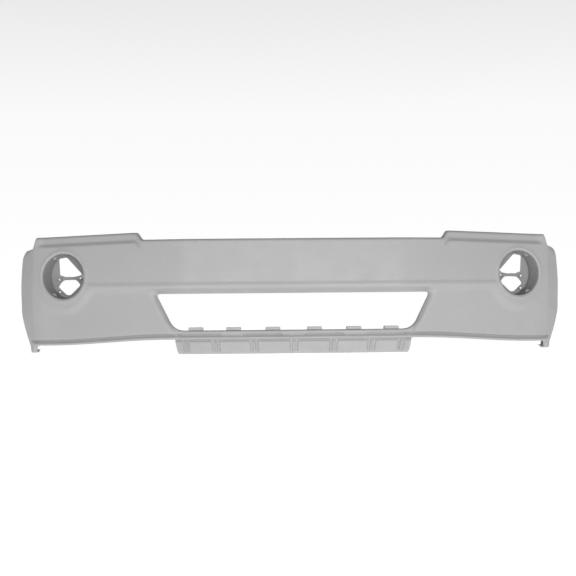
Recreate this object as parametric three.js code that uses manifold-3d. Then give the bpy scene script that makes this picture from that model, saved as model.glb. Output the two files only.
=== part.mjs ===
// Front bumper cover of a mid-size sport utility vehicle, as an assembly of its moulded pieces.
// Millimetres. +X is the right-hand end seen from the front, the front faces -Y and +Z is up.
// The model is built with its foremost point at y = 0 and then centred over its footprint.
import * as THREE from 'three';
import { mergeVertices } from 'three/addons/utils/BufferGeometryUtils.js';
import Module from 'manifold-3d';

const wasm = await Module();
wasm.setup();
const { clamp, degToRad, lerp, smoothstep } = THREE.MathUtils;

// ---------- driving dimensions ----------
const WALL = 3; // moulded wall thickness
const GAP = 0.3; // clearance between touching pieces
const REACH = 60; // how far a cutting tool runs past the wall it cuts

// Plan curve: heading in degrees from +X at each arc length from the centre line.
const HEADINGS = [[0, 0], [330, 2.5], [385, 15], [892, 22], [904, 46], [952, 52], [977, 76], [1057, 84],
  [1214, 91]];
const PLAN_END = 1214;

// Heights of the skin's edges and lines.
const BLADE_TOP = 376;
const LAMP_FLANGE_RISE = 24; // the headlamp flange stands this far above the blade
const LAMP_FLANGE_FALL = 10; // and falls this far towards the corner
const LAMP_FLANGE = { inner: 497, full: 526, outer: 860, height: 30, setback: 8, blend: 8, fadeStart: 862 };
const CORNER = { start: 890, end: 913, drop: 36 };
// The sides lean in under their top edge.
const SHOULDER = { depth: 10, height: 30, start: 905, end: 955 };
const SIDE_TOP_FALL = 30;
const LIP = { centre: 49, corner: 28, start: 400, end: 860 };
// The crease above the lip, in heights over the lip's edge.
const FOLD = { low: 14, high: 21, depth: 12, lip: 8, lipHigh: 6, fadeStart: 925, fadeEnd: 985 };
const SIDE_FOOT = { z: 3.3, start: 926, end: 975 }; // the sides reach lower than the lip
const LINE_Z = 211; // character line between blade and lower panel
const LEDGE_Z = 224; // foremost line of the blade
const BLADE_LEAN = 12;
const LEDGE_HEIGHT = 3;
const PANEL_SETBACK = 9;
// The margin of the grille opening and the rail lie behind the wing panels.
const BEVEL = { depth: 10, low: { z: 62, half: 400, width: 18 }, high: { z: 205, half: 478, width: 36 } };
const TUCK = { top: 138, low: 19, depth: 27, start: 845, end: 965, power: 1.35 };
const STEP_FADE = { start: 795, end: 885 }; // the step under the blade dies out round the corner
const WHEEL = { z: 70, radius: 420, topZ: 322 };

// Returns of the skin.
const TOP_RETURN = { centre: 42, side: 20, start: 420, end: 520 };
const BOTTOM_RETURN = { wing: 12, side: 27, start: 950, end: 1000 };
const RETURN_BLEND = 90; // arc over which the rail's return narrows to the wing's
const OPENING_RETURN = 32;
const RAIL_RETURN = 24;

// Grille opening, a trapezium with round corners.
const OPENING = { top: 198, bottom: 78, topHalf: 449, bottomHalf: 389, topRadius: 14, bottomRadius: 34 };

// Fog-lamp pockets, ellipses a little taller than wide.
const POCKET = { x: 762, z: 259, radius: 71, tall: 1.055, back: 232 };
const LOBE = { wide: 98, tall: 119 }; // half axes of the raised mound round each pocket
const POCKET_RETURN = 7.7;
const BUCKET = { start: 10.8, shift: 8, back: 60, tall: 73, ledge: 7, rim: 3.5, rimDepth: 9 };
const EAR = { angles: [60, 180, 300], reach: 15, radius: 8, standoff: 18 };

// Lower valance and its fastenings.
const RAIL_BACK = 46; // how far behind the plan curve the rail's returns end
const VALANCE = { halfTop: 408, halfBottom: 390, top: 74, foot: 22 };
const POCKET_SEGMENTS = 28;
const RIBS = [-369, -263, -134, 0, 134, 263, 369];
// A narrow bar stands in a groove between each two raised panels.
const RIB = { barFlat: 3, barFoot: 5, grooveEnd: 11, panelStart: 15, bar: 4, panel: 3.5 };
const HOOKS = [-319, -196, -68, 68, 196, 319];
const HOOK = { width: 50, top: 88, reach: 24 }; // tabs that lap over the rail from behind
const RIVETS = [-200, 0, 200];
const RIVET = { z: 62, shank: 4, bore: 2.3, flange: 9, pin: 2, pinHead: 5, length: 12.5 };
const RIVET_SEGMENTS = 10;
const LUG = { width: 44, low: 51, high: 76 };

// Screws, all of one size.
const SCREW = { head: 6, headHeight: 3.2, shank: 1.9, length: 15 };
const SCREW_HOLE = 2.4;
const SCREW_SEGMENTS = 8;

// ---------- materials ----------
const primer = (shade) => new THREE.MeshStandardMaterial({ color: shade, roughness: 0.55, metalness: 0 });
const primedPlastic = primer(0xb6b7b8);
const pocketPlastic = primer(0xa9aaab);
const blackNylon = new THREE.MeshStandardMaterial({ color: 0x3a3b3d, roughness: 0.6, metalness: 0 });
const zincSteel = new THREE.MeshStandardMaterial({ color: 0x9a9da0, roughness: 0.35, metalness: 0.9 });

// ---------- solids ----------
function toSolid(geometry) {
  const bare = geometry.clone();
  bare.deleteAttribute('normal');
  bare.deleteAttribute('uv');
  const merged = mergeVertices(bare, 1e-4);
  const vertProperties = new Float32Array(merged.attributes.position.array);
  const triVerts = new Uint32Array(merged.index.array);
  return new wasm.Manifold(new wasm.Mesh({ numProp: 3, vertProperties, triVerts }));
}

function toGeometry(solid) {
  const mesh = solid.getMesh();
  const geometry = new THREE.BufferGeometry();
  geometry.setAttribute('position', new THREE.BufferAttribute(mesh.vertProperties, 3));
  geometry.setIndex(new THREE.BufferAttribute(mesh.triVerts, 1));
  return geometry;
}

function union(solids) {
  return solids.reduce((sum, solid) => sum.add(solid));
}

function prismY(shape, yFront, yBack, segments = 6) {
  const depth = yBack - yFront;
  const geometry = new THREE.ExtrudeGeometry(shape, { depth, bevelEnabled: false, curveSegments: segments });
  return toSolid(geometry.rotateX(Math.PI / 2).translate(0, yBack, 0));
}

function box(xMin, xMax, yMin, yMax, zMin, zMax) {
  const geometry = new THREE.BoxGeometry(xMax - xMin, yMax - yMin, zMax - zMin);
  return toSolid(geometry.translate((xMin + xMax) / 2, (yMin + yMax) / 2, (zMin + zMax) / 2));
}

function cylinderY(radius, x, z, yFront, yBack, segments = 14) {
  const geometry = new THREE.CylinderGeometry(radius, radius, yBack - yFront, segments);
  return toSolid(geometry.translate(x, (yFront + yBack) / 2, z));
}

function cylinderZ(radius, x, y, zLow, zHigh, segments = 14) {
  const geometry = new THREE.CylinderGeometry(radius, radius, zHigh - zLow, segments);
  return toSolid(geometry.rotateX(Math.PI / 2).translate(x, y, (zLow + zHigh) / 2));
}

// A closed shell between two grids of points with equal rows and columns.
function stitch(outer, inner) {
  const columns = outer.length;
  const rows = outer[0].length;
  const vertices = [...outer.flat(), ...inner.flat()].flat();
  const outerAt = (i, j) => i * rows + j;
  const innerAt = (i, j) => columns * rows + i * rows + j;
  const triangles = [];
  const quad = (a, b, c, d) => triangles.push(a, b, c, a, c, d);
  for (let i = 0; i + 1 < columns; i += 1) {
    for (let j = 0; j + 1 < rows; j += 1) {
      quad(outerAt(i, j), outerAt(i + 1, j), outerAt(i + 1, j + 1), outerAt(i, j + 1));
      quad(innerAt(i, j), innerAt(i, j + 1), innerAt(i + 1, j + 1), innerAt(i + 1, j));
    }
    quad(innerAt(i, 0), innerAt(i + 1, 0), outerAt(i + 1, 0), outerAt(i, 0));
    quad(outerAt(i, rows - 1), outerAt(i + 1, rows - 1), innerAt(i + 1, rows - 1), innerAt(i, rows - 1));
  }
  for (let j = 0; j + 1 < rows; j += 1) {
    const last = columns - 1;
    quad(innerAt(0, j), outerAt(0, j), outerAt(0, j + 1), innerAt(0, j + 1));
    quad(outerAt(last, j), innerAt(last, j), innerAt(last, j + 1), outerAt(last, j + 1));
  }
  const geometry = new THREE.BufferGeometry();
  geometry.setAttribute('position', new THREE.Float32BufferAttribute(vertices, 3));
  geometry.setIndex(triangles);
  return toSolid(geometry);
}

// ---------- plan curve ----------
function headingAt(arc) {
  const next = HEADINGS.findIndex(([s]) => s >= arc);
  if (next <= 0) return degToRad(HEADINGS[0][1]);
  const [s0, h0] = HEADINGS[next - 1];
  const [s1, h1] = HEADINGS[next];
  return degToRad(lerp(h0, h1, (arc - s0) / (s1 - s0)));
}

function makePlan() {
  const points = [[0, 0]];
  for (let arc = 0; arc < PLAN_END; arc += 1) {
    const heading = headingAt(arc + 0.5);
    const [x, y] = points[arc];
    points.push([x + Math.cos(heading), y + Math.sin(heading)]);
  }
  return points;
}

const PLAN = makePlan();

// The plan point at a signed arc length, moved outwards by an offset.
function placeOnPlan(s, offset) {
  const arc = Math.min(Math.abs(s), PLAN_END);
  const low = Math.min(Math.floor(arc), PLAN_END - 1);
  const [x0, y0] = PLAN[low];
  const [x1, y1] = PLAN[low + 1];
  const heading = headingAt(arc);
  const x = lerp(x0, x1, arc - low) + offset * Math.sin(heading);
  const y = lerp(y0, y1, arc - low) - offset * Math.cos(heading);
  return [s < 0 ? -x : x, y];
}

const planX = (s) => Math.abs(placeOnPlan(s, 0)[0]);

// ---------- skin surface ----------
const ramp = (value, start, end) => clamp((value - start) / (end - start), 0, 1);

function topEdge(s) {
  const arc = Math.abs(s);
  const x = planX(s);
  const rise = LAMP_FLANGE_RISE * smoothstep(x, LAMP_FLANGE.inner, LAMP_FLANGE.full);
  const fall = LAMP_FLANGE_FALL * ramp(x, LAMP_FLANGE.full, LAMP_FLANGE.outer);
  const corner = CORNER.drop * smoothstep(arc, CORNER.start, CORNER.end);
  const side = SIDE_TOP_FALL * ramp(arc, CORNER.end, PLAN_END);
  return BLADE_TOP + rise - fall - corner - side;
}

function lipBase(s) {
  return lerp(LIP.centre, LIP.corner, smoothstep(Math.abs(s), LIP.start, LIP.end));
}

function bottomEdge(s) {
  return lerp(lipBase(s), SIDE_FOOT.z, smoothstep(Math.abs(s), SIDE_FOOT.start, SIDE_FOOT.end));
}

function archEdge(z) {
  const reach = (height) => Math.sqrt(WHEEL.radius ** 2 - (height - WHEEL.z) ** 2);
  return PLAN_END - Math.max(0, reach(z) - reach(WHEEL.topZ));
}

// How much of the raised blade is present: 1 on the blade and round the lamp, 0 on the panel.
function raised(x, z) {
  const aboveLine = z - LINE_Z;
  const insideLobe = LOBE.wide * (1 - Math.hypot((x - POCKET.x) / LOBE.wide, (z - POCKET.z) / LOBE.tall));
  const blend = 24;
  const mix = Math.max(blend - Math.abs(aboveLine - insideLobe), 0) / blend;
  return smoothstep(Math.max(aboveLine, insideLobe) + mix * mix * blend / 4, -9, 9);
}

function bevel(x, z) {
  const t = ramp(z, BEVEL.low.z, BEVEL.high.z);
  const half = lerp(BEVEL.low.half, BEVEL.high.half, t);
  return BEVEL.depth * smoothstep(half - x, 0, lerp(BEVEL.low.width, BEVEL.high.width, t));
}

// Outward offset of the skin from the plan curve.
function skinOffset(s, z) {
  const x = planX(s);
  const climb = Math.max(z - LEDGE_Z, 0) / (BLADE_TOP - LEDGE_Z);
  const step = 1 - smoothstep(Math.abs(s), STEP_FADE.start, STEP_FADE.end);
  const blade = -BLADE_LEAN * climb ** 1.5 - step * LEDGE_HEIGHT * smoothstep(z, LEDGE_Z, LEDGE_Z + 14);
  const foldFade = 1 - smoothstep(Math.abs(s), FOLD.fadeStart, FOLD.fadeEnd);
  const above = z - lipBase(s);
  const groove = FOLD.depth * smoothstep(FOLD.high - above, 0, FOLD.high - FOLD.low);
  const fold = foldFade * (groove - FOLD.lip * smoothstep(FOLD.low - above, 0, FOLD.low - FOLD.lipHigh));
  const panel = -PANEL_SETBACK * step - 0.02 * (LINE_Z - z) - fold - bevel(x, z);
  const face = lerp(panel, blade, raised(x, z));
  const { inner, full, height, setback, blend, fadeStart } = LAMP_FLANGE;
  const crease = topEdge(s) - height;
  const along = smoothstep(x, inner, full) * (1 - smoothstep(Math.abs(s), fadeStart, CORNER.start));
  const flange = along * setback * smoothstep(z, crease - blend, crease + blend);
  const under = TUCK.depth * smoothstep(Math.abs(s), TUCK.start, TUCK.end);
  const round = SHOULDER.depth * smoothstep(Math.abs(s), SHOULDER.start, SHOULDER.end);
  const shoulder = round * ramp(z, topEdge(s) - SHOULDER.height, topEdge(s)) ** 2;
  const tuck = under * ramp(TUCK.top - z, 0, TUCK.top - TUCK.low) ** TUCK.power;
  return face - flange - tuck - shoulder;
}

const FIXED_ROWS = [100, 140, 174, 200, 211, 221, 230, 244, 270];
const EDGE_ROW = 9; // height of the rows next to an edge or a crease

// Rows of the face from the lip to the top edge at one station.
function faceRows(s) {
  const low = bottomEdge(s);
  const high = topEdge(s);
  const crease = high - LAMP_FLANGE.height;
  const lipRows = [low + WALL, low + EDGE_ROW, lipBase(s) + FOLD.low, lipBase(s) + FOLD.high];
  const topRows = [crease - EDGE_ROW, crease, crease + EDGE_ROW, high - EDGE_ROW];
  return [...lipRows, ...FIXED_ROWS, ...topRows];
}

function skinProfile(s) {
  const low = bottomEdge(s);
  const high = topEdge(s);
  const arc = Math.abs(s);
  const lipOffset = skinOffset(s, low + WALL);
  const topOffset = skinOffset(s, high - EDGE_ROW);
  const topShare = smoothstep(arc, TOP_RETURN.start, TOP_RETURN.end);
  const depth = lerp(TOP_RETURN.centre, TOP_RETURN.side, topShare);
  const face = faceRows(s).map((z) => [skinOffset(s, z), z]);
  const railReturn = -RAIL_BACK - lipOffset;
  const { wing, side, start, end } = BOTTOM_RETURN;
  const wingReturn = -lerp(wing, side, smoothstep(arc, start, end));
  const lipReturn = lerp(railReturn, wingReturn, smoothstep(arc, LIP.start, LIP.start + RETURN_BLEND));
  const under = [[lipOffset + lipReturn, low], [lipOffset - WALL, low]];
  const over = [[topOffset - 2.6, high - 2.6], [topOffset - EDGE_ROW, high], [topOffset - depth, high]];
  return [...under, ...face, ...over];
}

const HALF_STATIONS = [0, 180, 330, 358, 385, 408, 440, 475, 503, 533, 590, 655, 705, 755, 805, 845, 868, 890,
  901, 913, 930, 952, 966, 979, 1055, 1130, 1214];
const STATIONS = [...HALF_STATIONS.slice(1).map((s) => -s).reverse(), ...HALF_STATIONS];

// Stations behind the corner close up towards the wheel arch.
function archStation(s, z) {
  const arc = Math.abs(s);
  const share = ramp(arc, CORNER.end, PLAN_END);
  return Math.sign(s) * (arc - share * (PLAN_END - archEdge(z)));
}

function placeSkin(s, offset, z) {
  const [x, y] = placeOnPlan(archStation(s, z), offset);
  return [x, y, z];
}

// The profile moved along its own normals, towards the inside for a positive distance.
function offsetProfile(profile, distance) {
  return profile.map(([o, z], k) => {
    const [o0, z0] = profile[Math.max(k - 1, 0)];
    const [o1, z1] = profile[Math.min(k + 1, profile.length - 1)];
    const length = Math.hypot(o1 - o0, z1 - z0);
    return [o - distance * (z1 - z0) / length, z + distance * (o1 - o0) / length];
  });
}

function sweep(stations, profileAt, thickness, place) {
  const outer = stations.map((s) => profileAt(s).map(([o, z]) => place(s, o, z)));
  const inner = stations.map((s) => offsetProfile(profileAt(s), thickness).map(([o, z]) => place(s, o, z)));
  return stitch(outer, inner);
}

// The space from `ahead` in front of the skin's face to `behind` at its back.
function slab(ahead, behind) {
  const pointAt = (s, z, move) => placeSkin(s, skinOffset(s, z) + move, z);
  const face = (move) => STATIONS.map((s) => faceRows(s).map((z) => pointAt(s, z, move)));
  return stitch(face(ahead), face(-behind));
}

// Depth of the skin's face at a point of the front view, found by halving the arc.
function skinY(x, z) {
  let low = 0;
  let high = CORNER.end;
  for (let step = 0; step < 40; step += 1) {
    const middle = (low + high) / 2;
    if (placeOnPlan(middle, skinOffset(middle, z))[0] < Math.abs(x)) low = middle;
    else high = middle;
  }
  return placeOnPlan(low, skinOffset(low, z))[1];
}

// ---------- openings ----------
function openingShape(grow) {
  const { top, bottom, topHalf, bottomHalf, topRadius, bottomRadius } = OPENING;
  const corners = [
    [-bottomHalf - grow, bottom - grow], [bottomHalf + grow, bottom - grow],
    [topHalf + grow, top + grow], [-topHalf - grow, top + grow],
  ].map(([x, z]) => new THREE.Vector2(x, z));
  const shape = new THREE.Shape();
  corners.forEach((corner, k) => {
    const cut = (k < 2 ? bottomRadius : topRadius) + grow;
    const before = corners[(k + 3) % 4].clone().sub(corner).setLength(cut).add(corner);
    const after = corners[(k + 1) % 4].clone().sub(corner).setLength(cut).add(corner);
    if (k === 0) shape.moveTo(before.x, before.y);
    else shape.lineTo(before.x, before.y);
    shape.quadraticCurveTo(corner.x, corner.y, after.x, after.y);
  });
  shape.closePath();
  return shape;
}

function pocketPrism(side, radius, yFront, yBack) {
  const geometry = new THREE.CylinderGeometry(radius, radius, yBack - yFront, POCKET_SEGMENTS);
  geometry.scale(1, 1, POCKET.tall);
  return toSolid(geometry.translate(side * POCKET.x, (yFront + yBack) / 2, POCKET.z));
}

function earPoints(side) {
  return EAR.angles.map((degrees) => {
    const angle = degToRad(degrees);
    const reach = POCKET.radius + EAR.reach;
    const x = side * (POCKET.x + reach * Math.cos(angle));
    const z = POCKET.z + reach * POCKET.tall * Math.sin(angle);
    return { angle, x, z, y: skinY(x, z) };
  });
}

// ---------- fascia skin ----------
const SIDES = [['left', -1], ['right', 1]];
const POCKET_FRONT = -REACH;
const SCREW_STATIONS = [1012, 1117];
const RETURN_HOLE = 12; // how far behind the face the side screws sit

function sideScrewPoint(side, arc) {
  const high = topEdge(arc);
  const [x, y] = placeOnPlan(side * archStation(arc, high), skinOffset(arc, high - 9) - RETURN_HOLE);
  return { x, y, z: high };
}

function lugSolid(x) {
  const [, y] = placeOnPlan(x, -RAIL_BACK);
  return box(x - LUG.width / 2, x + LUG.width / 2, y - WALL, y, LUG.low - 1, LUG.high + 1);
}

function fasciaSkin() {
  const thick = slab(0, OPENING_RETURN);
  const thin = slab(0, RAIL_RETURN);
  const pocketDepth = slab(0, POCKET_RETURN);
  const openingRing = prismY(openingShape(WALL), -REACH, 2 * REACH);
  const aboveRail = box(-600, 600, -REACH, 2 * REACH, OPENING.bottom + 30, OPENING.top + 30);
  let skin = sweep(STATIONS, skinProfile, WALL, placeSkin);
  skin = skin.add(openingRing.intersect(thin)).add(openingRing.intersect(aboveRail).intersect(thick));
  SIDES.forEach(([, side]) => {
    const collar = pocketPrism(side, POCKET.radius + WALL, POCKET_FRONT, POCKET.back);
    skin = skin.add(collar.intersect(pocketDepth));
    earPoints(side).forEach(({ x, z, y }) => {
      const boss = cylinderY(6, x, z, y - REACH / 4, y + EAR.standoff - GAP, 10);
      skin = skin.add(boss.intersect(thick));
    });
  });
  skin = union([skin, ...RIVETS.map(lugSolid)]);
  skin = skin.subtract(prismY(openingShape(0), -REACH, 2 * REACH));
  SIDES.forEach(([, side]) => {
    skin = skin.subtract(pocketPrism(side, POCKET.radius, POCKET_FRONT, POCKET.back));
    earPoints(side).forEach(({ x, z, y }) => {
      skin = skin.subtract(cylinderY(SCREW_HOLE, x, z, y + 5, y + REACH, 10));
    });
    SCREW_STATIONS.forEach((arc) => {
      const { x, y, z } = sideScrewPoint(side, arc);
      skin = skin.subtract(cylinderZ(SCREW_HOLE, x, y, z - 8, z + 8, 10));
    });
    const { x, y, z } = footPoint(side);
    skin = skin.subtract(cylinderZ(SCREW_HOLE, x, y, z - 8, z + 8, 10));
  });
  RIVETS.forEach((s) => {
    const [x, y] = placeOnPlan(s, -RAIL_BACK);
    skin = skin.subtract(cylinderY(RIVET.shank + GAP, x, RIVET.z, y - 8, y + 8));
  });
  return toGeometry(skin);
}

// ---------- lower valance ----------
const VALANCE_FRONT = RAIL_BACK + 0.6;

function reliefAt(s) {
  const nearest = Math.min(...RIBS.map((centre) => Math.abs(s - centre)));
  const bar = RIB.bar * (1 - ramp(nearest, RIB.barFlat, RIB.barFoot));
  return bar + RIB.panel * ramp(nearest, RIB.grooveEnd, RIB.panelStart);
}

function valanceProfile(s) {
  const relief = reliefAt(s);
  const front = -VALANCE_FRONT;
  return [
    [front - VALANCE.foot, 0], [front - 4, 0], [front, 4], [front + relief, 8], [front + relief, 40],
    [front, 45], [front, VALANCE.top],
  ];
}

function placeValance(s, offset, z) {
  const width = lerp(VALANCE.halfBottom, VALANCE.halfTop, ramp(z, 0, VALANCE.top));
  const [x, y] = placeOnPlan(s * width / VALANCE.halfTop, offset);
  return [x, y, z];
}

function hookSolid(x) {
  const [, y] = placeOnPlan(x, -VALANCE_FRONT);
  const half = HOOK.width / 2;
  const shift = Math.abs(placeOnPlan(Math.abs(x) + half, -VALANCE_FRONT)[1] - y);
  const front = y - HOOK.reach;
  const upright = box(x - half, x + half, y + shift, y + shift + WALL, VALANCE.top - 8, HOOK.top);
  const cap = box(x - half, x + half, front, y + shift + 1, HOOK.top - WALL, HOOK.top);
  const nose = box(x - half, x + half, front, front + WALL, OPENING.bottom + 2 * GAP, HOOK.top);
  return union([upright, cap, nose]);
}

function lowerValance() {
  const steps = [RIB.barFlat, RIB.barFoot, RIB.grooveEnd, RIB.panelStart];
  const ribStations = RIBS.flatMap((centre) => steps.flatMap((step) => [centre - step, centre + step]));
  const ends = [-VALANCE.halfTop, VALANCE.halfTop];
  const stations = [...ribStations, ...ends].sort((a, b) => a - b);
  let valance = sweep(stations, valanceProfile, WALL, placeValance);
  valance = union([valance, ...HOOKS.map(hookSolid)]);
  RIVETS.forEach((s) => {
    const [x, y] = placeOnPlan(s, -VALANCE_FRONT);
    valance = valance.subtract(cylinderY(RIVET.shank + GAP, x, RIVET.z, y - 8, y + 8));
  });
  return toGeometry(valance);
}

// ---------- fog-lamp pockets and carriers ----------
function capsule(ax, az, bx, bz, radius) {
  const angle = Math.atan2(bz - az, bx - ax);
  const shape = new THREE.Shape();
  shape.absarc(bx, bz, radius, angle - Math.PI / 2, angle + Math.PI / 2, false);
  shape.absarc(ax, az, radius, angle + Math.PI / 2, angle + 1.5 * Math.PI, false);
  shape.closePath();
  return shape;
}

// A solid between closed rings of equally many points, capped at both ends.
function loft(rings) {
  const count = rings[0].length;
  const middles = [rings[0], rings.at(-1)].map((ring) => ring.reduce(
    (sum, point) => sum.map((value, axis) => value + point[axis] / count), [0, 0, 0]));
  const vertices = [...rings.flat(), ...middles].flat();
  const firstMiddle = rings.length * count;
  const triangles = [];
  for (let k = 0; k < count; k += 1) {
    const next = (k + 1) % count;
    for (let ring = 0; ring + 1 < rings.length; ring += 1) {
      const near = ring * count;
      const far = near + count;
      triangles.push(near + k, far + next, near + next, near + k, far + k, far + next);
    }
    const last = (rings.length - 1) * count;
    triangles.push(firstMiddle, k, next, firstMiddle + 1, last + next, last + k);
  }
  const geometry = new THREE.BufferGeometry();
  geometry.setAttribute('position', new THREE.Float32BufferAttribute(vertices, 3));
  geometry.setIndex(triangles);
  return toSolid(geometry);
}

function ellipseRing(side, shift, wide, tall, depthAt) {
  const ring = [];
  for (let k = 0; k < POCKET_SEGMENTS; k += 1) {
    const angle = 2 * Math.PI * k / POCKET_SEGMENTS;
    const x = POCKET.x - shift + wide * Math.cos(angle);
    const z = POCKET.z + tall * Math.sin(angle);
    ring.push([side * x, depthAt(x, z), z]);
  }
  return side > 0 ? ring : ring.reverse();
}

// Rings of the tub from its slanted mouth behind the skin to the flat carrier seat.
function bucketRings(side, wall) {
  const wide = POCKET.radius + wall;
  const mouth = ellipseRing(side, 0, wide, wide * POCKET.tall, (x, z) => skinY(x, z) + BUCKET.start);
  const seat = (shift, grow, y) => ellipseRing(side, shift, BUCKET.back + grow, BUCKET.tall + grow, () => y);
  return { mouth, seat };
}

function pocketBucket(side) {
  const outside = bucketRings(side, WALL);
  const inside = bucketRings(side, 0);
  const ledge = POCKET.back - BUCKET.ledge;
  const rear = POCKET.back + BUCKET.rimDepth;
  const rim = BUCKET.rim + WALL;
  const shell = loft([outside.mouth, outside.seat(BUCKET.shift, WALL, ledge - 8),
    outside.seat(BUCKET.shift, rim, ledge), outside.seat(BUCKET.shift, rim, rear)]);
  const ahead = inside.mouth.map(([x, y, z]) => [x, y - REACH, z]);
  const seats = [ledge, rear].map((y) => inside.seat(BUCKET.shift, 0, y));
  const bore = loft([ahead, inside.mouth, ...seats]);
  const recess = loft([POCKET.back, rear + WALL].map((y) => inside.seat(BUCKET.shift, BUCKET.rim, y)));
  const ears = earPoints(side).map(({ angle, x, z, y }) => {
    const wallX = side * (POCKET.x + (POCKET.radius - 8) * Math.cos(angle));
    const wallZ = POCKET.z + (POCKET.radius - 8) * POCKET.tall * Math.sin(angle);
    const earFront = y + EAR.standoff;
    const ear = prismY(capsule(wallX, wallZ, x, z, EAR.radius), earFront, earFront + WALL, 6);
    return ear.subtract(cylinderY(SCREW_HOLE, x, z, earFront - WALL, earFront + 2 * WALL, 10));
  });
  return toGeometry(union([shell, ...ears]).subtract(bore).subtract(recess));
}

// Outlines of the carrier, in millimetres from its centre with +u towards the car's middle.
const UPPER_WINDOW = [[-23, 4], [-26, 60], [0, 65], [49, 10], [47, 4], [24, -1], [-8, -1], [-14, 3]];
const LOWER_WINDOW = [[31, -11], [-9, -12], [-17, -19], [-27, -32], [-27, -37], [0, -63], [12, -63],
  [44, -31], [44, -26]];
const BOSSES = [[-24, -10], [46, -6], [-22.5, -52]];
const BOSS = { radius: 6.5, bore: 3.4, height: 8 };
const INSERT = { radius: 3.1, bore: 1.9, length: 7, sunk: 0.2 };

function carrierPlate(side) {
  const shape = new THREE.Shape();
  const rim = BUCKET.rim - 0.5;
  shape.absellipse(-side * BUCKET.shift, 0, BUCKET.back + rim, BUCKET.tall + rim, 0, 2 * Math.PI, false);
  [UPPER_WINDOW, LOWER_WINDOW].forEach((outline) => {
    shape.holes.push(new THREE.Path(outline.map(([u, v]) => new THREE.Vector2(-side * u, v))));
  });
  const front = POCKET.back + GAP;
  const move = (solid) => solid.translate([side * POCKET.x, 0, POCKET.z]);
  let plate = prismY(shape, front, front + WALL, 9);
  BOSSES.forEach(([u, v]) => {
    plate = plate.add(cylinderY(BOSS.radius, -side * u, v, front - BOSS.height, front + 1, 12));
  });
  BOSSES.forEach(([u, v]) => {
    plate = plate.subtract(cylinderY(BOSS.bore, -side * u, v, front - 2 * BOSS.height, front + 2 * WALL, 12));
  });
  return toGeometry(move(plate));
}

function threadedInsert() {
  const { radius, bore, length } = INSERT;
  const profile = [[bore, 0], [radius, 0], [radius, length], [bore, length], [bore, 0]];
  return new THREE.LatheGeometry(profile.map(([r, y]) => new THREE.Vector2(r, y)), SCREW_SEGMENTS);
}

// ---------- side retainers and corner feet ----------
const RETAINER_GAP = 1.4;
const RETAINER_LEG_GAP = 3.2;

function retainerProfile(arc) {
  const high = topEdge(arc) - WALL - RETAINER_GAP;
  const top = skinOffset(arc, topEdge(arc) - 9);
  const legTop = high - 6;
  const legLow = high - 26;
  const leg = WALL + RETAINER_LEG_GAP;
  return [[skinOffset(arc, legLow) - leg, legLow], [skinOffset(arc, legTop) - leg, legTop],
    [top - leg - 3, high], [top - 19, high]];
}

function sideRetainer(side) {
  const arcs = [990, 1020, 1052, 1087, 1122, 1147];
  const stations = side > 0 ? arcs : arcs.map((s) => -s).reverse();
  let strip = sweep(stations, (s) => retainerProfile(Math.abs(s)), 2.2, placeSkin);
  SCREW_STATIONS.forEach((arc) => {
    const { x, y, z } = sideScrewPoint(side, arc);
    strip = strip.subtract(cylinderZ(SCREW_HOLE, x, y, z - 12, z + 8, 10));
  });
  return toGeometry(strip);
}

const FOOT = { arc: 1074, inset: 15, halfWidth: 11, halfLength: 24 };

function footPoint(side) {
  const { arc, inset } = FOOT;
  const station = side * archStation(arc, SIDE_FOOT.z);
  const offset = skinOffset(station, SIDE_FOOT.z + 3) - inset;
  const [x, y] = placeOnPlan(station, offset);
  return { x, y, z: bottomEdge(arc) };
}

// A flat pad under the side's return, which the cover stands on and the wheel liner is screwed to.
function cornerFoot(side) {
  const { x, y, z } = footPoint(side);
  const { halfWidth, halfLength } = FOOT;
  const top = z - GAP;
  const pad = box(x - halfWidth, x + halfWidth, y - halfLength, y + halfLength, 0, top);
  return toGeometry(pad.subtract(cylinderZ(SCREW_HOLE, x, y, -1, z, 10)));
}

// ---------- fasteners ----------
// The shank runs along -Y from a head seated at y = 0.
function screwGeometry(length = SCREW.length) {
  const { head, headHeight, shank } = SCREW;
  const profile = [[0, -length], [shank, -length + 1.5], [shank, 0], [head, 0], [head, headHeight * 0.5],
    [head * 0.7, headHeight], [0, headHeight]];
  return new THREE.LatheGeometry(profile.map(([r, y]) => new THREE.Vector2(r, y)), SCREW_SEGMENTS);
}

function rivetBodyGeometry() {
  const { shank, bore, flange, length } = RIVET;
  const profile = [[bore, -length], [shank - 1, -length], [shank, -length + 3], [shank, 0], [flange, 0],
    [flange, 1.4], [flange - 2, 2.2], [bore, 2.2], [bore, -length]];
  return new THREE.LatheGeometry(profile.map(([r, y]) => new THREE.Vector2(r, y)), RIVET_SEGMENTS);
}

function rivetPinGeometry() {
  const { pin, pinHead, length } = RIVET;
  const seat = 2.2 + GAP;
  const profile = [[0, -length - 1], [pin * 0.6, -length - 1], [pin, -length + 1], [pin, seat],
    [pinHead, seat], [pinHead, seat + 1.2], [pinHead - 1, seat + 2], [0, seat + 2]];
  return new THREE.LatheGeometry(profile.map(([r, y]) => new THREE.Vector2(r, y)), RIVET_SEGMENTS);
}

// ---------- assembly ----------
const cover = new THREE.Group();

function place(name, geometry, material, position = [0, 0, 0], rotation = [0, 0, 0]) {
  const mesh = new THREE.Mesh(geometry, material.clone());
  mesh.name = name;
  mesh.position.set(...position);
  mesh.rotation.set(...rotation);
  cover.add(mesh);
}

place('fascia_skin', fasciaSkin(), primedPlastic);
place('lower_valance', lowerValance(), primedPlastic);

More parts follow.
